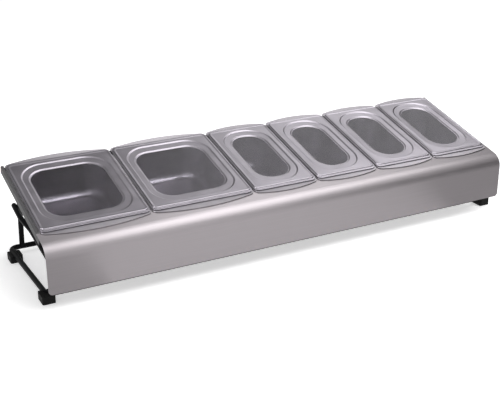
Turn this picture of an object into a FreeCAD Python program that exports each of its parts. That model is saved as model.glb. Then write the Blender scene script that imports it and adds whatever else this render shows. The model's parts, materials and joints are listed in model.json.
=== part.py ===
import FreeCAD, Part
import math
import os

V = FreeCAD.Vector

# Driving dimensions, in millimetres and degrees.

# The row of pans slopes up towards the rear.
tilt = 13.55
front_edge_height = 106.0
wide_pan_width = 162.0
narrow_pan_width = 108.0
wide_pan_count = 2
narrow_pan_count = 4
pan_gap = 2.0

# A pan is pressed from sheet, with front and rear rims that bow outwards.
pan_length = 182.0
pan_depth = 65.0
pan_sheet = 0.8
pan_corner = 36.0
pan_taper = 6.0
pan_bottom_radius = 15.0
shoulder_drop = 14.0
shoulder_height = 2.0
shoulder_step = 1.5
wide_rim_bow = 10.3
narrow_rim_bow = 8.3
rim_corner = 8.0
rim_lip = 1.5
rim_rounding = 0.5
side_flange = 10.0
end_flange = 12.0
side_skirt = 5.0
skirt_setback = 1.0

# A lid is a moulded plate with a ledge round its edge, a sunk ring and a window.
lid_side_inset = 2.0
lid_end_inset = 6.0
lid_edge = 3.0
ledge_drop = 1.5
ledge_side = 1.5
ledge_end = 4.0
lid_wall = 1.8
lid_corner = 7.0
lid_rounding = 0.8
recess_side_margin = 10.0
recess_end_margin = 8.0
recess_corner = 38.0
recess_step = 1.0
recess_lean = 1.0
window_side_margin = 23.0
window_end_margin = 24.5
window_corner = 26.0
window_depth = 3.3
locating_rib = 1.5
locating_rib_height = 4.0
locating_clearance = 1.0

# The cover is one bent sheet.
cover_sheet = 1.0
cover_overhang = 4.6
cover_reach = 37.0
cover_bend = 20.0
cover_bottom_height = 24.0
cover_corner = 6.0
cover_wall_gap = 6.0

# Angles welded under the cover's ends run back to the rear rail and guide the outer pans.
angle_height = 10.5
angle_front = -12.0
angle_tail = 3.0
angle_rounding = 0.8

# The stand is bent and welded from one size of rod.
rod_diameter = 8.0
base_height = 9.5
base_front_inset = 1.1
base_rear_inset = -3.1
base_rear_reach = 5.5
base_corner = 11.0
rail_wall_gap = 2.5
leg_end_inset = 15.4
leg_lean = 2.8
arm_end_inset = 19.0
arm_joggle_inset = 14.6
arm_rise = 1.2
arm_bend = 60.0
arm_joggle_front = 91.0
arm_joggle_run = 36.0
arm_tail = 1.0

# Rubber feet are pushed onto the base loop.
foot_width = 19.0
front_foot_length = 25.0
front_foot_height = 11.5
rear_foot_length = 23.0
rear_foot_height = 11.0
rear_foot_setback = 13.5
foot_rounding = 2.5

# Weld studs under the cover's strip go through tabs on the front rail.
tab_count = 4
tab_width = 24.0
tab_length = 18.0
tab_sheet = 2.0
tab_end_distance = 60.0
stud_diameter = 4.0
stud_length = 9.0
nut_width = 7.0
nut_height = 3.2

# Clearances
seat_gap = 0.2
weld_gap = 0.05
foot_fit = 0.1
stud_clearance = 0.4
guide_clearance = 0.3
thread_clearance = 0.1

# Points closer than this count as one point.
match = 0.001

# Sizes worked out from the driving dimensions
rod_radius = rod_diameter / 2
pan_widths = [wide_pan_width] * wide_pan_count + [narrow_pan_width] * narrow_pan_count
rim_bows = [wide_rim_bow] * wide_pan_count + [narrow_rim_bow] * narrow_pan_count
row_length = sum(pan_widths) + pan_gap * (len(pan_widths) - 1)
row_end = row_length / 2
cover_end = row_end + cover_overhang
lid_length = pan_length - 2 * lid_end_inset
slope_cos = math.cos(math.radians(tilt))
slope_sin = math.sin(math.radians(tilt))

# Places along the slope, from the lids' front edge
row_middle = lid_length / 2
rim_front = row_middle - pan_length / 2
rim_rear = row_middle + pan_length / 2
wall_front = rim_front + end_flange - pan_sheet
wall_rear = rim_rear - end_flange + pan_sheet

# Levels square to the slope, from the lids' top
rim_level = -lid_edge - seat_gap
strip_level = rim_level - rim_lip - seat_gap
front_rail_level = strip_level - cover_sheet - weld_gap - rod_radius
rear_rail_level = strip_level - rod_radius
angle_top = strip_level - cover_sheet - weld_gap
arm_level = rim_level - pan_depth + arm_rise

strip_rear = wall_front - cover_wall_gap
front_rail_place = strip_rear - rod_radius
rear_rail_place = wall_rear + rail_wall_gap + rod_radius

# The origin is in the middle of the depth, from the apron's face to the rear lip.
lip_reach = (rim_rear + max(rim_bows)) * slope_cos - (rim_level - rim_lip) * slope_sin
row_y = (cover_reach - lip_reach) / 2
row = FreeCAD.Placement(V(0, row_y, front_edge_height), FreeCAD.Rotation(V(1, 0, 0), tilt))


def on_row(x, place, level):
    """A point given along the row, up the slope and square to the slope."""
    return row.multVec(V(x, place, level))


def laid_on_row(shape):
    """A piece modelled level, turned onto the slope."""
    turned = shape.copy()
    turned.transformShape(row.toMatrix())
    return turned


def rounded_wire(width, length, radius, x, place, level):
    """A rectangle with round corners, as a closed wire of lines and arcs."""
    half_x = width / 2 - radius
    half_y = length / 2 - radius
    corners = [(half_x, half_y), (-half_x, half_y), (-half_x, -half_y), (half_x, -half_y)]
    arcs = []
    for number, (corner_x, corner_y) in enumerate(corners):
        points = []
        for step in range(3):
            angle = math.radians(90 * number + 45 * step)
            across = x + corner_x + radius * math.cos(angle)
            along = place + corner_y + radius * math.sin(angle)
            points.append(V(across, along, level))
        arcs.append(points)
    edges = []
    for number, points in enumerate(arcs):
        following = arcs[(number + 1) % len(arcs)]
        edges.append(Part.Arc(*points).toShape())
        if points[2].distanceToPoint(following[0]) > match:
            edges.append(Part.LineSegment(points[2], following[0]).toShape())
    return Part.Wire(edges)


def lowest_face(solid):
    return min(solid.Faces, key=lambda face: face.CenterOfMass.z)


def highest_face(solid):
    return max(solid.Faces, key=lambda face: face.CenterOfMass.z)


def rod(start, end, growth=0.0):
    along = end - start
    return Part.makeCylinder(rod_radius + growth, along.Length, start, along)


def bent_path(points, bend, closed=False):
    """Straight runs joined by tangent arcs."""
    count = len(points)
    bends = []
    for number in range(count):
        if not closed and number in (0, count - 1):
            bends.append((points[number], None, points[number]))
            continue
        corner = points[number]
        back = (points[number - 1] - corner).normalize()
        ahead = (points[(number + 1) % count] - corner).normalize()
        half = back.getAngle(ahead) / 2
        reach = bend / math.tan(half)
        inward = (back + ahead).normalize()
        middle = corner + inward * (bend / math.sin(half) - bend)
        bends.append((corner + back * reach, middle, corner + ahead * reach))
    edges = []
    for number, (start, middle, end) in enumerate(bends):
        if middle is not None:
            edges.append(Part.Arc(start, middle, end).toShape())
        if number + 1 < count or closed:
            following = bends[(number + 1) % count][0]
            edges.append(Part.LineSegment(end, following).toShape())
    return Part.Wire(edges)


def bent_rod(points, bend, closed=False, growth=0.0):
    """The rod swept along its bent path."""
    path = bent_path(points, bend, closed)
    first = path.OrderedEdges[0]
    start = first.valueAt(first.FirstParameter)
    heading = first.tangentAt(first.FirstParameter)
    section = Part.Wire([Part.makeCircle(rod_radius + growth, start, heading)])
    return path.makePipeShell([section], True, False)


# Pans


def rim_plate(width, bow, x, inset, bottom, top):
    """The rim's outline with bowed front and rear edges, drawn in by inset."""
    half = width / 2 - inset
    front = rim_front + inset
    rear = rim_rear - inset
    corners = [V(x - half, front, bottom), V(x + half, front, bottom),
               V(x + half, rear, bottom), V(x - half, rear, bottom)]
    front_bow = Part.Arc(corners[0], V(x, front - bow, bottom), corners[1])
    rear_bow = Part.Arc(corners[2], V(x, rear + bow, bottom), corners[3])
    right = Part.LineSegment(corners[1], corners[2])
    left = Part.LineSegment(corners[3], corners[0])
    outline = Part.Wire([edge.toShape() for edge in (front_bow, right, rear_bow, left)])
    plate = Part.Face(outline).extrude(V(0, 0, top - bottom))
    upright = [edge for edge in plate.Edges if edge.BoundBox.ZLength > match]
    return plate.makeFillet(rim_corner - inset, upright)


def pan_tub(width, x, growth, top, bottom_radius):
    """The pressed tub as a closed block: the inside of the pan, grown by growth."""
    opening_width = width - 2 * side_flange
    opening_length = pan_length - 2 * end_flange
    shoulder = rim_level - shoulder_drop
    lean = pan_taper * shoulder_drop / pan_depth
    bottom = rim_level - pan_depth + pan_sheet - growth
    sections = [(top, 0.0), (rim_level - pan_sheet, 0.0), (shoulder, lean),
                (shoulder - shoulder_height, lean + shoulder_step),
                (bottom, pan_taper + shoulder_step)]
    wires = []
    for level, inset in sections:
        drawn_in = inset - growth
        wires.append(rounded_wire(opening_width - 2 * drawn_in, opening_length - 2 * drawn_in,
                                  pan_corner - drawn_in, x, row_middle, level))
    tub = Part.makeLoft(wires, True, True)
    return tub.makeFillet(bottom_radius, lowest_face(tub).Edges)


def pan(width, bow, x):
    plate = rim_plate(width, bow, x, 0.0, rim_level - rim_lip, rim_level)
    plate = plate.makeFillet(rim_rounding, highest_face(plate).OuterWire.Edges)
    under = rim_plate(width, bow, x, pan_sheet, rim_level - 2 * rim_lip, rim_level - pan_sheet)
    shell = plate.cut(under)
    skirt_length = wall_rear - wall_front - 2 * skirt_setback
    for edge_x in (x - width / 2, x + width / 2 - pan_sheet):
        corner = V(edge_x, wall_front + skirt_setback, rim_level - side_skirt)
        shell = shell.fuse(Part.makeBox(pan_sheet, skirt_length, side_skirt - pan_sheet, corner))
    outside = pan_tub(width, x, pan_sheet, rim_level - pan_sheet / 2, pan_bottom_radius)
    inside = pan_tub(width, x, 0.0, rim_level + pan_sheet, pan_bottom_radius - pan_sheet)
    return shell.fuse(outside).cut(inside).removeSplitter()


# Lids


def lid_sunk_block(width, x, growth, top):
    """The space of the sunk ring and window, grown by growth."""
    ring_width = width - 2 * recess_side_margin
    ring_length = lid_length - 2 * recess_end_margin
    ring_corner = min(recess_corner, ring_width / 2 - recess_lean)
    window_width = width - 2 * window_side_margin
    window_length = lid_length - 2 * window_end_margin
    sections = [
        (top, ring_width, ring_length, ring_corner),
        (min(0.0, top), ring_width, ring_length, ring_corner),
        (-recess_step - growth, ring_width - 2 * recess_lean, ring_length - 2 * recess_lean,
         ring_corner - recess_lean),
        (-window_depth - growth, window_width, window_length, window_corner)]
    wires = []
    for level, across, along, corner in sections:
        wire = rounded_wire(across + 2 * growth, along + 2 * growth, corner + growth,
                            x, row_middle, level)
        if not wires or level < wires[-1].BoundBox.ZMin - match:
            wires.append(wire)
    return Part.makeLoft(wires, True, True)


def lid_block(width, length, corner, x, bottom, top):
    wire = rounded_wire(width, length, corner, x, row_middle, bottom)
    return Part.Face(wire).extrude(V(0, 0, top - bottom))


def lid_rib(pan_width, x):
    """The rib under the lid that drops into the pan's opening."""
    inset = side_flange + locating_clearance
    across = pan_width - 2 * inset
    along = pan_length - 2 * (end_flange + locating_clearance)
    corner = pan_corner - locating_clearance
    bottom = -lid_edge - locating_rib_height
    ring = []
    for drawn_in in (0.0, locating_rib):
        wire = rounded_wire(across - 2 * drawn_in, along - 2 * drawn_in, corner - drawn_in,
                            x, row_middle, bottom)
        ring.append(Part.Face(wire).extrude(V(0, 0, -lid_wall / 2 - bottom)))
    return ring[0].cut(ring[1])


def lid(pan_width, x):
    width = pan_width - 2 * lid_side_inset
    plate = lid_block(width, lid_length, lid_corner, x, -lid_edge, 0.0)
    plate = plate.makeFillet(lid_rounding, highest_face(plate).OuterWire.Edges)
    ledge = lid_block(width + 2 * ledge_side, lid_length + 2 * ledge_end, lid_corner + ledge_side,
                      x, -lid_edge, -ledge_drop)
    under = lid_block(width - 2 * lid_wall, lid_length - 2 * lid_wall, lid_corner - lid_wall,
                      x, -2 * lid_edge, -lid_wall)
    shell = plate.fuse(ledge).cut(under).fuse(lid_rib(pan_width, x))
    shell = shell.fuse(lid_sunk_block(width, x, lid_wall, -lid_wall / 2))
    return shell.cut(lid_sunk_block(width, x, 0.0, lid_wall)).removeSplitter()


# Cover


def cover_panel():
    """The strip, bend and apron, cut from one profile."""
    face_y = row_y - cover_reach
    turn = math.radians(90 - tilt)
    strip_end = on_row(0, strip_rear, strip_level)
    down_slope = V(0, -slope_cos, -slope_sin)
    into_slope = V(0, slope_sin, -slope_cos)
    corner = strip_end + down_slope * ((strip_end.y - face_y) / slope_cos)
    tangent = cover_bend * math.tan(turn / 2)
    bend_start = corner - down_slope * tangent
    bend_end = corner - V(0, 0, tangent)
    centre = bend_start + into_slope * cover_bend
    outward = (corner - centre).normalize()
    bottom = V(0, face_y, cover_bottom_height)
    sheet = V(0, cover_sheet, 0)
    inner_bend = cover_bend - cover_sheet
    outer_arc = Part.Arc(bend_start, centre + outward * cover_bend, bend_end)
    inner_arc = Part.Arc(bend_end + sheet, centre + outward * inner_bend,
                         bend_start + into_slope * cover_sheet)
    inner_end = strip_end + into_slope * cover_sheet
    edges = [Part.LineSegment(strip_end, bend_start), outer_arc,
             Part.LineSegment(bend_end, bottom),
             Part.LineSegment(bottom, bottom + sheet),
             Part.LineSegment(bottom + sheet, bend_end + sheet), inner_arc,
             Part.LineSegment(bend_start + into_slope * cover_sheet, inner_end),
             Part.LineSegment(inner_end, strip_end)]
    profile = Part.Face(Part.Wire([edge.toShape() for edge in edges]))
    profile.translate(V(-cover_end, 0, 0))
    panel = profile.extrude(V(2 * cover_end, 0, 0))
    lower = [edge for edge in panel.Edges
             if edge.BoundBox.ZMax < cover_bottom_height + match and edge.BoundBox.XLength < match]
    return panel.makeFillet(cover_corner, lower)


def side_angle(side):
    """A web under the cover's end, with a ledge beside the outer pan's rim."""
    rear = rear_rail_place + rod_radius + angle_tail
    ledge_front = strip_rear + weld_gap
    web = Part.makeBox(cover_sheet, rear - angle_front, angle_height,
                       V(-cover_end, angle_front, angle_top - angle_height))
    ledge = Part.makeBox(cover_overhang - guide_clearance, rear - ledge_front, strip_level - angle_top,
                         V(-cover_end, ledge_front, angle_top))
    angle = web.fuse(ledge).removeSplitter()
    corner = [edge for edge in angle.Edges
              if edge.BoundBox.XMax < match - cover_end and edge.BoundBox.ZMin > strip_level - match]
    angle = angle.makeFillet(angle_rounding, corner)
    return angle if side < 0 else angle.mirror(V(0, 0, 0), V(1, 0, 0))


# Stand

front_rail_middle = on_row(0, front_rail_place, front_rail_level)
rear_rail_middle = on_row(0, rear_rail_place, rear_rail_level)
front_y = front_rail_middle.y
rear_y = rear_rail_middle.y
base_rear_y = rear_y + base_rear_reach
front_corner_x = row_end - base_front_inset
rear_corner_x = row_end - base_rear_inset
rail_half = row_end + guide_clearance - weld_gap
arm_front_x = row_end - arm_end_inset
arm_joggle_x = row_end - arm_joggle_inset
leg_x = row_end - leg_end_inset

# The arm passes the leg where the leg has leaned in and forwards by this share.
arm_meeting = on_row(0, (rear_y - row_y + arm_level * slope_sin) / slope_cos, arm_level)
leg_share = (arm_meeting.z - base_height) / (rear_rail_middle.z - base_height)
leg_meeting_y = base_rear_y - leg_share * base_rear_reach
arm_rear_x = leg_x - leg_share * leg_lean + rod_diameter + weld_gap


def base_loop(growth=0.0):
    corners = [V(rear_corner_x, base_rear_y, base_height), V(-rear_corner_x, base_rear_y, base_height),
               V(-front_corner_x, front_y, base_height), V(front_corner_x, front_y, base_height)]
    return bent_rod(corners, base_corner, closed=True, growth=growth)


def rail(middle, growth=0.0):
    return rod(middle - V(rail_half, 0, 0), middle + V(rail_half, 0, 0), growth)


def upright(x, y, head_x, rail_middle):
    """A rod from the base loop up to a rail, with coped ends."""
    length = rod(V(x, y, base_height), V(head_x, rail_middle.y, rail_middle.z))
    return length.cut(base_loop(weld_gap)).cut(rail(rail_middle, weld_gap))


def side_arm(side):
    """The arm from the front post, joggled outwards to pass outside the leg."""
    post_place = (front_y - row_y + arm_level * slope_sin) / slope_cos
    leg_place = (leg_meeting_y - row_y + arm_level * slope_sin) / slope_cos
    places = [(arm_front_x, post_place), (arm_joggle_x, arm_joggle_front),
              (arm_rear_x, arm_joggle_front + arm_joggle_run), (arm_rear_x, leg_place + arm_tail)]
    points = [on_row(side * x, place, arm_level) for x, place in places]
    arm = bent_rod(points, arm_bend).fuse(Part.makeSphere(rod_radius, points[-1]))
    front_post = rod(V(side * arm_front_x, front_y, base_height),
                     V(side * arm_front_x, front_y, front_rail_middle.z), weld_gap)
    return arm.cut(front_post).removeSplitter()


def foot(side, centre_y, length, height):
    """A rubber block with a groove that grips the base loop."""
    share = (centre_y - front_y) / (base_rear_y - front_y)
    rod_x = front_corner_x + share * (rear_corner_x - front_corner_x)
    corner = V(side * rod_x - foot_width / 2, centre_y - length / 2, 0)
    block = Part.makeBox(foot_width, length, height, corner)
    upright = [edge for edge in block.Edges if edge.BoundBox.ZLength > height / 2]
    return block.makeFillet(foot_rounding, upright).cut(base_loop(foot_fit))


# Cover fixings

tab_front = front_rail_place - tab_length
tab_top = strip_level - cover_sheet - weld_gap
stud_place = (tab_front + front_rail_place - rod_radius) / 2
tab_first = -row_end + tab_end_distance
tab_pitch = 2 * (row_end - tab_end_distance) / (tab_count - 1)
tab_places = [tab_first + tab_pitch * number for number in range(tab_count)]


def round_bar(x, bottom, top, diameter):
    return Part.makeCylinder(diameter / 2, top - bottom, V(x, stud_place, bottom), V(0, 0, 1))


def cover_tab(x):
    corner = V(x - tab_width / 2, tab_front, tab_top - tab_sheet)
    plate = Part.makeBox(tab_width, tab_length, tab_sheet, corner)
    hole = round_bar(x, tab_top - 2 * tab_sheet, tab_top + tab_sheet, stud_diameter + stud_clearance)
    rail_body = Part.makeCylinder(rod_radius + weld_gap, 2 * tab_width,
                                  V(x - tab_width, front_rail_place, front_rail_level), V(1, 0, 0))
    return plate.cut(hole).cut(rail_body)


def cover_stud(x):
    top = strip_level - cover_sheet
    return round_bar(x, top - stud_length, top, stud_diameter)


def cover_nut(x):
    top = tab_top - tab_sheet - weld_gap
    corner_radius = nut_width / math.sqrt(3)
    points = []
    for number in range(7):
        angle = math.radians(60 * number)
        across = x + corner_radius * math.cos(angle)
        points.append(V(across, stud_place + corner_radius * math.sin(angle), top - nut_height))
    block = Part.Face(Part.makePolygon(points)).extrude(V(0, 0, nut_height))
    return block.cut(round_bar(x, top - 2 * nut_height, top + nut_height,
                               stud_diameter + thread_clearance))


def group(make):
    """One node that holds the same fixing at every tab."""
    return laid_on_row(Part.Compound([make(x) for x in tab_places]))


# Every piece by name
pieces = {
    "base_loop": base_loop(),
    "front_rail": rail(front_rail_middle),
    "rear_rail": rail(rear_rail_middle),
    "cover_panel": cover_panel(),
    "cover_tabs": group(cover_tab),
    "cover_studs": group(cover_stud),
    "cover_nuts": group(cover_nut),
}

for side, hand in ((-1, "left"), (1, "right")):
    pieces["side_angle_" + hand] = laid_on_row(side_angle(side))
    pieces["front_post_" + hand] = upright(side * arm_front_x, front_y, side * arm_front_x,
                                           front_rail_middle)
    pieces["rear_leg_" + hand] = upright(side * leg_x, base_rear_y, side * (leg_x - leg_lean),
                                         rear_rail_middle)
    pieces["side_arm_" + hand] = side_arm(side)
    pieces["foot_front_" + hand] = foot(side, front_y, front_foot_length, front_foot_height)
    rear_foot_y = base_rear_y - rear_foot_setback - rear_foot_length / 2
    pieces["foot_rear_" + hand] = foot(side, rear_foot_y, rear_foot_length, rear_foot_height)

left_edge = -row_end
for number, (width, bow) in enumerate(zip(pan_widths, rim_bows)):
    middle_x = left_edge + width / 2
    left_edge += width + pan_gap
    if number < wide_pan_count:
        name = "wide_{}_" + str(number + 1)
    else:
        name = "narrow_{}_" + str(number + 1 - wide_pan_count)
    pieces[name.format("pan")] = laid_on_row(pan(width, bow, middle_x))
    pieces[name.format("lid")] = laid_on_row(lid(width, middle_x))

os.makedirs("parts", exist_ok=True)
for name, shape in pieces.items():
    shape.exportStep("parts/" + name + ".step")
    print(name, len(shape.Solids), round(shape.Volume, 1), shape.isValid())
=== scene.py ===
import json
import math

import bpy
from mathutils import Matrix, Vector

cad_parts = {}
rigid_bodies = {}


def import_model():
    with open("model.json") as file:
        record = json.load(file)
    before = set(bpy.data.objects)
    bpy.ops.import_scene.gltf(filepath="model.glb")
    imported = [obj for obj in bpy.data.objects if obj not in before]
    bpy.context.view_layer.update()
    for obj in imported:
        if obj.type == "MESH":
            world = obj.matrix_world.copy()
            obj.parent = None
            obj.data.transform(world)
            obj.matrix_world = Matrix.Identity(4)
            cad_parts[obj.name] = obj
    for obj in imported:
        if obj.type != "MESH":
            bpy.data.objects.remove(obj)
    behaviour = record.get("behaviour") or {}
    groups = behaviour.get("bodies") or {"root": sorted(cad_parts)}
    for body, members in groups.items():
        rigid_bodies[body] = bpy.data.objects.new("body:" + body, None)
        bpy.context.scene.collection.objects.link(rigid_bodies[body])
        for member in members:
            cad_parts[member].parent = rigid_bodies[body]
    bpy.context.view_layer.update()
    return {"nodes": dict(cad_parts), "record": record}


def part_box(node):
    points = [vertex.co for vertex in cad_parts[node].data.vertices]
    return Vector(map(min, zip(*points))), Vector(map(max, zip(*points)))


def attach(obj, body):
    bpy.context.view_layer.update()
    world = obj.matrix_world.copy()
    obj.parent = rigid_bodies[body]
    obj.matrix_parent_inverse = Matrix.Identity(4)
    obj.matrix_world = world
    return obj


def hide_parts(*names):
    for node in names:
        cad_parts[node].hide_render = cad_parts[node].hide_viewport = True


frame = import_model()

MM = 0.001
WHITE = (1, 1, 1, 1)

# The row of pans: its slope and the middle of the lids' front edge.
TILT = math.radians(13.55)
FRONT_EDGE = Vector((0, -72.61, 106.0)) * MM

# Each kind of pan: its name, its width in millimetres and how many there are.
PAN_KINDS = (("wide", 162, 2), ("narrow", 108, 4))
FOOT_PLACES = ("front_left", "front_right", "rear_left", "rear_right")

BODIES = frame["record"]["behaviour"]["bodies"]
BODY_OF = {node: body for body, nodes in BODIES.items() for node in nodes}


# Materials

# The middle part of a noise, which is spread over a whole range of numbers or colours.
NOISE_LOW = 0.3
NOISE_HIGH = 0.7
NOISE_DETAIL = 6.0

# How a noise is drawn out: the same along each axis, or in long lines along the row.
EVEN_GRAIN = (1, 1, 1)
BRUSHED_GRAIN = (3, 400, 400)
BRUSHED_SCALE = 3.0
BRUSHED_DEPTH = 0.003 * MM
BRUSHED_STRENGTH = 0.75
QUARTER_TURN = 0.25
PRESSED_SCALE = 70.0
PLASTIC_SCALE = 40.0

POWDER = {"polish": (0.38, 0.52), "scale": 900.0, "specular": 0.08, "depth": 0.1 * MM}
RUBBER = {"polish": (0.55, 0.75), "scale": 500.0, "specular": 0.15, "depth": 0.2 * MM}


def new_material(name):
    """A new material, with its nodes, its links and its shader."""
    material = bpy.data.materials.new(name)
    material.use_nodes = True
    nodes = material.node_tree.nodes
    return material, nodes, material.node_tree.links, nodes["Principled BSDF"]


def grain(nodes, links, stretch, scale):
    """Noise on the object's own coordinates, drawn out along some of the axes."""
    place = nodes.new("ShaderNodeTexCoord")
    drawn = nodes.new("ShaderNodeMapping")
    drawn.inputs["Scale"].default_value = stretch
    noise = nodes.new("ShaderNodeTexNoise")
    noise.inputs["Scale"].default_value = scale
    noise.inputs["Detail"].default_value = NOISE_DETAIL
    links.new(place.outputs["Object"], drawn.inputs["Vector"])
    links.new(drawn.outputs["Vector"], noise.inputs["Vector"])
    return noise


def spread(nodes, links, value, source, target):
    """A value turned from one range of numbers into another."""
    turned = nodes.new("ShaderNodeMapRange")
    turned.inputs["From Min"].default_value = source[0]
    turned.inputs["From Max"].default_value = source[1]
    turned.inputs["To Min"].default_value = target[0]
    turned.inputs["To Max"].default_value = target[1]
    links.new(value, turned.inputs["Value"])
    return turned.outputs["Result"]


def tint(nodes, links, value, dark, light):
    """A noise turned into a range of colours."""
    ramp = nodes.new("ShaderNodeValToRGB")
    low, high = ramp.color_ramp.elements
    low.position = NOISE_LOW
    low.color = (*dark, 1)
    high.position = NOISE_HIGH
    high.color = (*light, 1)
    links.new(value, ramp.inputs["Fac"])
    return ramp.outputs["Color"]


def vary(nodes, links, shader, noise, colours, polish):
    """Lets a noise move the colour and the roughness, each between two limits."""
    value = noise.outputs["Fac"]
    links.new(tint(nodes, links, value, *colours), shader.inputs["Base Color"])
    rough = spread(nodes, links, value, (NOISE_LOW, NOISE_HIGH), polish)
    links.new(rough, shader.inputs["Roughness"])


def bump(nodes, links, noise, shader, depth):
    """Lets a noise tilt the surface a little."""
    raised = nodes.new("ShaderNodeBump")
    raised.inputs["Distance"].default_value = depth
    links.new(noise.outputs["Fac"], raised.inputs["Height"])
    links.new(raised.outputs["Normal"], shader.inputs["Normal"])


def brushed_sheet(name, colours, polish):
    """Stainless sheet with fine brushing along the row, which draws highlights out across it."""
    material, nodes, links, shader = new_material(name)
    shader.inputs["Metallic"].default_value = 1.0
    shader.inputs["Anisotropic"].default_value = BRUSHED_STRENGTH
    shader.inputs["Anisotropic Rotation"].default_value = QUARTER_TURN
    along = nodes.new("ShaderNodeCombineXYZ")
    along.inputs["X"].default_value = 1.0
    links.new(along.outputs["Vector"], shader.inputs["Tangent"])
    lines = grain(nodes, links, BRUSHED_GRAIN, BRUSHED_SCALE)
    vary(nodes, links, shader, lines, colours, polish)
    bump(nodes, links, lines, shader, BRUSHED_DEPTH)
    return material


def pressed_sheet(name, colours, polish):
    """Stainless sheet drawn in a press: a satin skin with faint clouds."""
    material, nodes, links, shader = new_material(name)
    shader.inputs["Metallic"].default_value = 1.0
    cloud = grain(nodes, links, EVEN_GRAIN, PRESSED_SCALE)
    vary(nodes, links, shader, cloud, colours, polish)
    return material


def speckled_skin(name, colours, polish, scale, specular, depth):
    """A dull skin with fine specks, for powder coat and rubber."""
    material, nodes, links, shader = new_material(name)
    specks = grain(nodes, links, EVEN_GRAIN, scale)
    vary(nodes, links, shader, specks, colours, polish)
    shader.inputs["Specular IOR Level"].default_value = specular
    bump(nodes, links, specks, shader, depth)
    return material


def clear_plastic(name, colours, polish, sheen, index, mirrored=WHITE):
    """Clear plastic with a faint cloud in its tint and polish. The sheen is what a satin face
    throws back, and mirrored is the tint of what a clear face mirrors."""
    material, nodes, links, shader = new_material(name)
    shader.inputs["Metallic"].default_value = sheen
    cloud = grain(nodes, links, EVEN_GRAIN, PLASTIC_SCALE)
    vary(nodes, links, shader, cloud, colours, polish)
    shader.inputs["Transmission Weight"].default_value = 1.0
    shader.inputs["IOR"].default_value = index
    shader.inputs["Specular Tint"].default_value = mirrored
    return material


COVER_STEEL = brushed_sheet(
    "cover_steel", ((0.26, 0.241, 0.251), (0.279, 0.259, 0.27)), (0.36, 0.44))
PAN_STEEL = pressed_sheet(
    "pan_steel", ((0.311, 0.293, 0.315), (0.344, 0.325, 0.349)), (0.29, 0.35))
# Dark grey for the side angles in place of their stainless finish: painted shade, standing in for the
# shade at the ends of the row.
PAINTED_SHADE_GREY = speckled_skin(
    "angle_painted_shade", ((0.08, 0.078, 0.08), (0.11, 0.107, 0.11)), **POWDER)
STAND_BLACK = speckled_skin(
    "stand_black", ((0.004, 0.004, 0.005), (0.012, 0.012, 0.013)), **POWDER)
FOOT_RUBBER = speckled_skin(
    "foot_rubber", ((0.004, 0.004, 0.004), (0.012, 0.012, 0.012)), **RUBBER)
LID_PLASTIC = clear_plastic(
    "lid_plastic", ((0.262, 0.246, 0.272), (0.297, 0.278, 0.308)), (0.34, 0.4), sheen=0.85, index=1.5)
LID_WINDOW = clear_plastic(
    "lid_window", ((0.76, 0.75, 0.79), (0.82, 0.81, 0.85)), (0.01, 0.03), sheen=0.0, index=1.46,
    mirrored=(0.95, 0.88, 1, 1))

FINISH = {"cover_steel": COVER_STEEL, "pan_steel": PAN_STEEL, "fixing_steel": PAN_STEEL,
          "stand_black": STAND_BLACK, "foot_rubber": FOOT_RUBBER, "lid_plastic": LID_PLASTIC}
for part in frame["record"]["subparts"]:
    node = frame["nodes"][part["node"]]
    node.data.materials.clear()
    # The side angles take the dark grey of painted shade instead of their recorded finish.
    takes_painted_shade = part["node"].startswith("side_angle")
    node.data.materials.append(PAINTED_SHADE_GREY if takes_painted_shade else FINISH[part["material_slot"]])


# Modelling helpers

# The points of one outline: each round corner has one more point than it has steps.
CORNER_STEPS = 9
OUTLINE_POINTS = 4 * (CORNER_STEPS + 1)

# Edges that turn by more than this stay sharp, in degrees.
MODELLED_SHARP = 40
PRESSED_SHARP = 35

# Points of a CAD mesh this close are one, and faces this flat are one, in degrees.
SAME_POINT = 0.002 * MM
SAME_FACE = 0.4

EDGE_STEPS = 3
FULL_WEIGHT = 100


def pick(piece):
    """Selects one piece alone and makes it the active one."""
    bpy.ops.object.select_all(action="DESELECT")
    piece.select_set(True)
    bpy.context.view_layer.objects.active = piece


def new_plane(name, size, place=(0, 0, 0), turn=(0, 0, 0)):
    bpy.ops.object.select_all(action="DESELECT")
    bpy.ops.mesh.primitive_plane_add(size=size, location=place, rotation=turn)
    plane = bpy.context.object
    plane.name = name
    return plane


def open_mesh(name):
    """A new piece with nothing in it yet, open for editing."""
    piece = new_plane(name, 1)
    bpy.ops.object.mode_set(mode="EDIT")
    bpy.ops.mesh.select_all(action="SELECT")
    bpy.ops.mesh.delete(type="VERT")
    return piece


def add_outline(width, length, corner, level):
    """One rectangle with round corners, as a loop of edges."""
    bpy.ops.mesh.select_all(action="DESELECT")
    bpy.ops.mesh.primitive_plane_add(size=1, location=(0, 0, level))
    bpy.ops.transform.resize(value=(width, length, 1), center_override=(0, 0, level))
    bpy.ops.mesh.bevel(offset=corner, offset_type="OFFSET", segments=CORNER_STEPS, affect="VERTICES")
    bpy.ops.mesh.delete(type="ONLY_FACE")


def select_outlines(piece, *numbers):
    """Selects outlines by their numbers, in the order in which they were added."""
    bpy.ops.mesh.select_mode(type="VERT")
    bpy.ops.mesh.select_all(action="DESELECT")
    bpy.ops.object.mode_set(mode="OBJECT")
    for number in numbers:
        first = number * OUTLINE_POINTS
        for vertex in piece.data.vertices[first:first + OUTLINE_POINTS]:
            vertex.select = True
    bpy.ops.object.mode_set(mode="EDIT")
    bpy.ops.mesh.select_mode(type="EDGE")


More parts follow.
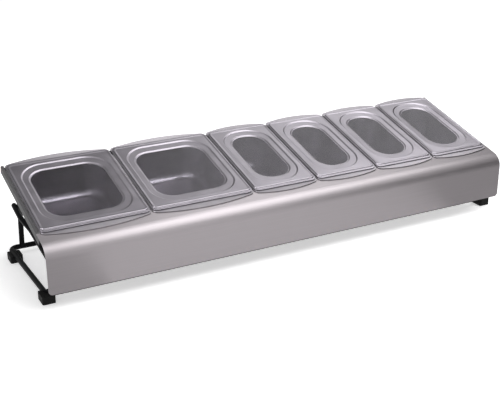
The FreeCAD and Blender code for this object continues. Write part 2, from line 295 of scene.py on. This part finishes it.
def bridge_outlines(piece, outlines, closed=False):
    """Skins neighbouring outlines. An open chain gets a flat face at each end, a closed one
    is a ring."""
    base = len(piece.data.vertices) // OUTLINE_POINTS
    for width, length, corner, level in outlines:
        add_outline(width * MM, length * MM, corner * MM, level * MM)
    last = len(outlines) - 1
    pairs = [(number, number + 1) for number in range(last)]
    if closed:
        pairs.append((last, 0))
    for one, other in pairs:
        select_outlines(piece, base + one, base + other)
        bpy.ops.mesh.bridge_edge_loops()
    if not closed:
        for end in (0, last):
            select_outlines(piece, base + end)
            bpy.ops.mesh.edge_face_add()
    bpy.ops.object.mode_set(mode="OBJECT")
    bpy.ops.object.mode_set(mode="EDIT")


def even_shading(piece, sharp):
    """Smooth over the bends, with flat faces kept flat up to their edges."""
    bpy.ops.object.shade_smooth_by_angle(angle=math.radians(sharp))
    even = piece.modifiers.new("even_shading", "WEIGHTED_NORMAL")
    even.keep_sharp = True
    even.weight = FULL_WEIGHT
    bpy.ops.object.modifier_apply(modifier=even.name)


def close_mesh(piece, rounding, angle):
    """Points the faces outwards, rounds the edges that turn by more than the angle and
    shades the piece smooth."""
    bpy.ops.mesh.select_all(action="SELECT")
    bpy.ops.mesh.normals_make_consistent(inside=False)
    bpy.ops.object.mode_set(mode="OBJECT")
    soften = piece.modifiers.new("round_edges", "BEVEL")
    soften.width = rounding * MM
    soften.segments = EDGE_STEPS
    soften.limit_method = "ANGLE"
    soften.angle_limit = math.radians(angle)
    soften.harden_normals = False
    bpy.ops.object.modifier_apply(modifier=soften.name)
    even_shading(piece, MODELLED_SHARP)


def joined_copy(node, name):
    """A copy of a CAD piece with its loose triangles joined into whole faces."""
    mesh = frame["nodes"][node].data.copy()
    piece = bpy.data.objects.new(name, mesh)
    bpy.context.scene.collection.objects.link(piece)
    pick(piece)
    bpy.ops.object.mode_set(mode="EDIT")
    bpy.ops.mesh.select_all(action="SELECT")
    bpy.ops.mesh.customdata_custom_splitnormals_clear()
    bpy.ops.mesh.remove_doubles(threshold=SAME_POINT)
    bpy.ops.mesh.dissolve_limited(angle_limit=math.radians(SAME_FACE))
    bpy.ops.object.mode_set(mode="OBJECT")
    return piece


def stands_for(piece, node):
    """The piece moves with the CAD piece's body and hides it."""
    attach(piece, BODY_OF[node])
    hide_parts(node)


# Lids

# In millimetres and degrees.
LID_LENGTH = 170.0
LID_PLAY = 4
LID_ROUNDING = 0.5
LID_EDGE = 25
WINDOW_SLOT = 1

# Outlines of a lid, each as what it adds to the lid's width and length, its corner's radius
# and its level. They run from the window's face over the sunk ring, the border and the ledge,
# and back along the underside.
LID_SHELL = (
    (-46, -49, 26, -3.5),
    (-43.5, -46.5, 27, -3.3),
    (-40, -43, 28.5, -2),
    (-24.4, -20.4, 35.8, -1.6),
    (-22, -18, 37, -0.8),
    (-20, -16, 38, -0.25),
    (-9, -9, 3.5, -0.5),
    (-7, -7, 4, -0.45),
    (-4.8, -4.8, 5, -0.1),
    (-3.2, -3.2, 5.4, 0),
    (-1.6, -1.6, 6.2, -0.2),
    (-0.4, -0.4, 6.8, -0.8),
    (0, 0, 7, -1.7),
    (3, 8, 8.5, -1.8),
    (3, 8, 8.5, -3),
    (-4, -4, 5.5, -2.9),
    (-4, -4, 5.5, -1.9),
    (-16.4, -12.4, 39, -2),
    (-20.8, -16.8, 37, -3.2),
    (-38, -41, 29, -3.7),
    (-41.5, -44.5, 28, -5),
    (-45, -48, 26.5, -5.2))
# The rib below, which drops into the pan.
LID_RIB = (
    (-18, -14, 35, -2.2),
    (-18, -14, 35, -7),
    (-21, -17, 33.5, -7.1),
    (-21, -17, 33.5, -2.3))


def model_lid(name, pan_width):
    """A moulded lid: ledge, border, sunk ring and window, with the rib below."""
    lid = open_mesh(name)
    lid_width = pan_width - LID_PLAY
    for profile, closed in ((LID_SHELL, False), (LID_RIB, True)):
        outlines = [(lid_width + wider, LID_LENGTH + longer, corner, level)
                    for wider, longer, corner, level in profile]
        bridge_outlines(lid, outlines, closed)
    close_mesh(lid, LID_ROUNDING, LID_EDGE)
    lid.data.materials.append(LID_PLASTIC)
    lid.data.materials.append(LID_WINDOW)
    # The window's two faces are the only ones that span a whole outline.
    for face in lid.data.polygons:
        if len(face.vertices) >= OUTLINE_POINTS:
            face.material_index = WINDOW_SLOT
    return lid


def copy_of(piece, name):
    """A piece of its own with the same shape."""
    twin = piece.copy()
    twin.data = piece.data.copy()
    twin.name = name
    bpy.context.scene.collection.objects.link(twin)
    return twin


def lay_on_row(piece, x):
    """Turns a lid modelled level onto the slope, at its place along the row."""
    front = Matrix.Translation(FRONT_EDGE + Vector((x, 0, 0)))
    middle = Matrix.Translation((0, LID_LENGTH / 2 * MM, 0))
    piece.matrix_world = front @ Matrix.Rotation(TILT, 4, "X") @ middle
    pick(piece)
    bpy.ops.object.transform_apply(location=True, rotation=True, scale=True)


for kind, pan_width, count in PAN_KINDS:
    pattern = model_lid(kind + "_lid_pattern", pan_width)
    for number in range(1, count + 1):
        node = kind + "_lid_" + str(number)
        low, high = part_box(node)
        lid = copy_of(pattern, node + "_moulded")
        lay_on_row(lid, (low.x + high.x) / 2)
        stands_for(lid, node)
    bpy.data.objects.remove(pattern)


# Pans

for kind, _, count in PAN_KINDS:
    for number in range(1, count + 1):
        node = kind + "_pan_" + str(number)
        pan = joined_copy(node, node + "_pressed")
        even_shading(pan, PRESSED_SHARP)
        stands_for(pan, node)


# Feet

# In millimetres and degrees.
FOOT_ROUNDING = 0.7
FOOT_EDGE = 50

for place in FOOT_PLACES:
    node = "foot_" + place
    foot = joined_copy(node, node + "_rubber")
    bpy.ops.object.mode_set(mode="EDIT")
    close_mesh(foot, FOOT_ROUNDING, FOOT_EDGE)
    stands_for(foot, node)


# Room

ROOM_LIT = 0.55
ROOM_SEEN = 1.0
FLOOR_SIZE = 12
FLOOR_LEVEL = -0.2 * MM
FLOOR_COLOUR = (0.85, 0.85, 0.85, 1)
FLOOR_LIFT = 0.5


def room_light(nodes, links, output, lit, seen):
    """Camera, mirrored and see-through rays find the bright room, all other rays the plain level."""
    path = nodes.new("ShaderNodeLightPath")
    sees_room = path.outputs["Is Camera Ray"]
    for ray in ("Is Glossy Ray", "Is Transmission Ray"):
        either = nodes.new("ShaderNodeMath")
        either.operation = "MAXIMUM"
        links.new(sees_room, either.inputs[0])
        links.new(path.outputs[ray], either.inputs[1])
        sees_room = either.outputs[0]
    choice = nodes.new("ShaderNodeMixShader")
    links.new(sees_room, choice.inputs["Fac"])
    links.new(lit, choice.inputs[1])
    links.new(seen, choice.inputs[2])
    links.new(choice.outputs["Shader"], output.inputs["Surface"])


def white_room(nodes, strength):
    """An even white room of one strength."""
    level = nodes.new("ShaderNodeBackground")
    level.inputs["Color"].default_value = WHITE
    level.inputs["Strength"].default_value = strength
    return level.outputs["Background"]


world = bpy.data.worlds.new("room")
bpy.context.scene.world = world
world.use_nodes = True
sky = world.node_tree.nodes
sky.clear()
room_light(sky, world.node_tree.links, sky.new("ShaderNodeOutputWorld"),
           white_room(sky, ROOM_LIT), white_room(sky, ROOM_SEEN))

floor = new_plane("floor", FLOOR_SIZE, (0, 0, FLOOR_LEVEL))
paper = bpy.data.materials.new("floor_paper")
paper.use_nodes = True
sheet = paper.node_tree.nodes
sheet.clear()
pale = sheet.new("ShaderNodeBsdfDiffuse")
pale.inputs["Color"].default_value = FLOOR_COLOUR
lift = sheet.new("ShaderNodeEmission")
lift.inputs["Strength"].default_value = FLOOR_LIFT
lifted = sheet.new("ShaderNodeAddShader")
paper.node_tree.links.new(pale.outputs["BSDF"], lifted.inputs[0])
paper.node_tree.links.new(lift.outputs["Emission"], lifted.inputs[1])
room_light(sheet, paper.node_tree.links, sheet.new("ShaderNodeOutputMaterial"),
           pale.outputs["BSDF"], lifted.outputs["Shader"])
floor.data.materials.append(paper)


# Light

CARD_GREY = (0.02, 0.02, 0.02, 1)
# A graded card brightens over its right half, from its middle to its edge.
GRADED_HALF = (0.0, 0.5)


def softbox(name, place, aim, width, height, power):
    """A rectangular lamp turned towards a point."""
    lamp = bpy.data.lights.new(name, "AREA")
    lamp.shape = "RECTANGLE"
    lamp.size = width
    lamp.size_y = height
    lamp.energy = power
    stand = bpy.data.objects.new(name, lamp)
    bpy.context.scene.collection.objects.link(stand)
    stand.location = place
    stand.rotation_euler = (Vector(aim) - Vector(place)).to_track_quat("-Z", "Y").to_euler()
    return stand


def card(name, place, turn, width, height, glow, edge_glow=None):
    """A grey card beside the set, seen only in reflections. It can brighten towards its right edge."""
    board = new_plane(name, 1, place, [math.radians(angle) for angle in turn])
    board.scale = (width, height, 1)
    board.visible_camera = False
    board.visible_shadow = False
    board.visible_diffuse = False
    material, nodes, links, shader = new_material(name)
    shader.inputs["Base Color"].default_value = CARD_GREY
    shader.inputs["Roughness"].default_value = 1.0
    shader.inputs["Emission Color"].default_value = WHITE
    shader.inputs["Emission Strength"].default_value = glow
    if edge_glow:
        place_on_card = nodes.new("ShaderNodeTexCoord")
        axes = nodes.new("ShaderNodeSeparateXYZ")
        links.new(place_on_card.outputs["Object"], axes.inputs["Vector"])
        graded = spread(nodes, links, axes.outputs["X"], GRADED_HALF, (glow, edge_glow))
        links.new(graded, shader.inputs["Emission Strength"])
    board.data.materials.append(material)


front = softbox("front_softbox", (0.47, -0.37, 1.45), (0, -0.1, 0.1), width=1.85, height=0.95, power=23.0)
# The two rear lamps leave a gap between them, which is what the lids' windows mirror.
row_lamps = (
    softbox("rear_high_softbox", (1.28, 0.54, 1.53), (0.1, 0, 0.1), width=0.7, height=0.55, power=3.4),
    softbox("rear_low_softbox", (0.97, 1.41, 1.05), (0.1, 0, 0.1), width=0.6, height=0.5, power=1.5),
    softbox("left_softbox", (-1.5, -0.5, 0.9), (-0.2, 0, 0.1), width=0.3, height=0.9, power=32))
rims = softbox("rim_softbox", (0.3, 1.3, 1.22), (-0.1, 0.08, 0.13), width=0.6, height=0.35, power=1.7)

# The front lamp lights all but the pans, the rim lamp only the pans, the others lids and pans.
row_only = bpy.data.collections.new("row_only")
pans_only = bpy.data.collections.new("pans_only")
past_pans = bpy.data.collections.new("past_pans")
for piece in list(bpy.context.scene.objects):
    pressed = piece.name.endswith("_pressed")
    (pans_only if pressed else past_pans).objects.link(piece)
    if pressed or piece.name.endswith("_moulded"):
        row_only.objects.link(piece)
front.light_linking.receiver_collection = past_pans
rims.light_linking.receiver_collection = pans_only
for lamp in row_lamps:
    lamp.light_linking.receiver_collection = row_only

card("right_card", (1.7, -0.8, 0.65), (0, -90, 0), width=1.3, height=4.4, glow=0.03)
card("rear_card", (0.2, 1.6, 1.6), (90, 0, 0), width=1.8, height=3.0, glow=0.25, edge_glow=1.0)
card("left_card", (-1.0, 0.2, 0.9), (0, 90, 0), width=1.6, height=2.0, glow=0.05)
card("right_floor_card", (0.71, -0.45, 0.001), (0, 0, 0), width=0.8, height=0.66, glow=0.95)
card("left_floor_card", (-0.69, -0.45, 0.001), (0, 0, 0), width=0.8, height=0.66, glow=0.8)


# Camera

# As fitted to the photograph: the focal length in its pixels, the place in metres and the
# angles in degrees.
PHOTO_WIDTH = 500
FOCAL_LENGTH = 978.5
SENSOR_WIDTH = 36
FAR_LIMIT = 100
CAMERA_PLACE = (-0.6892, -1.2786, 0.6318)
CAMERA_HEADING = -27.46
CAMERA_DIP = 21.78
CAMERA_ROLL = -0.35

lens = bpy.data.cameras.new("photo_camera")
lens.sensor_width = SENSOR_WIDTH
lens.lens = SENSOR_WIDTH * FOCAL_LENGTH / PHOTO_WIDTH
lens.clip_end = FAR_LIMIT
camera = bpy.data.objects.new("photo_camera", lens)
bpy.context.scene.collection.objects.link(camera)
heading = Matrix.Rotation(math.radians(CAMERA_HEADING), 4, "Z")
dip = Matrix.Rotation(math.radians(90 - CAMERA_DIP), 4, "X")
roll = Matrix.Rotation(math.radians(CAMERA_ROLL), 4, "Z")
camera.matrix_world = Matrix.Translation(CAMERA_PLACE) @ heading @ dip @ roll
bpy.context.scene.camera = camera
bpy.context.scene.view_settings.view_transform = "Standard"
